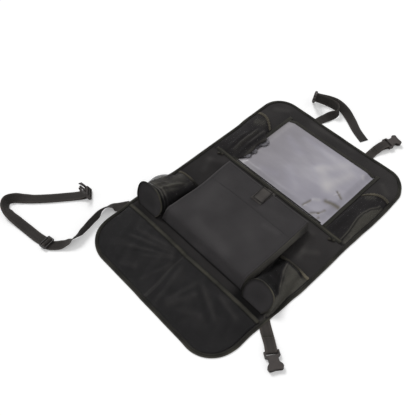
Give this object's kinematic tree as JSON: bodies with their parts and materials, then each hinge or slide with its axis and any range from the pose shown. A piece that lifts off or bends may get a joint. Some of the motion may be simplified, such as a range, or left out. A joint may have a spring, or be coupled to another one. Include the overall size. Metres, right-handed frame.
{
  "type": "car seat back organizer",
  "caption": "Cloth organizer for the back of a car seat, with a clear tablet window, a deep closed pocket, mesh pockets, bottle pockets and webbing straps with side-release buckles.",
  "frame": {"origin": "centre of the rear face of the cloth panel", "axes": "+X to the right of someone who looks at the pockets, +Y towards the headrest end, +Z out of the front, away from the seat"},
  "size_m": [0.6694, 0.7979, 0.0515],
  "materials": {
    "cloth": "matte woven polyester",
    "backing": "matte woven polyester",
    "mesh": "sheer knitted mesh",
    "tape": "ribbed binding tape",
    "film": "clear soft film, glossy",
    "webbing": "woven polypropylene webbing",
    "hook": "hook and loop tape",
    "buckle": "satin moulded plastic"
  },
  "bodies": {
    "root": {"back_panel": "backing", "edge_binding": "tape", "window_film": "film", "window_tape_top": "tape", "window_tape_left": "tape", "window_tape_right": "tape", "upper_cross_tape": "tape", "upper_left_pocket": "mesh", "upper_left_elastic": "tape", "upper_right_pocket": "mesh", "upper_right_elastic": "tape", "main_pocket_front": "cloth", "main_pocket_gusset_left": "tape", "main_pocket_gusset_right": "tape", "closure_loop_patch": "hook", "closure_tab": "hook", "left_bottle_pocket": "mesh", "left_bottle_base": "cloth", "left_bottle_elastic": "tape", "right_bottle_pocket": "mesh", "right_bottle_base": "cloth", "right_bottle_elastic": "tape", "lower_pocket_panel": "mesh", "lower_pocket_tape": "tape", "upper_left_strap": "webbing", "upper_left_buckle": "buckle", "upper_right_strap": "webbing", "upper_right_buckle": "buckle", "lower_right_strap": "webbing", "lower_right_buckle": "buckle", "lower_left_strap": "webbing", "lower_left_slider": "buckle", "lower_left_buckle": "buckle"}
  },
  "joints": []
}
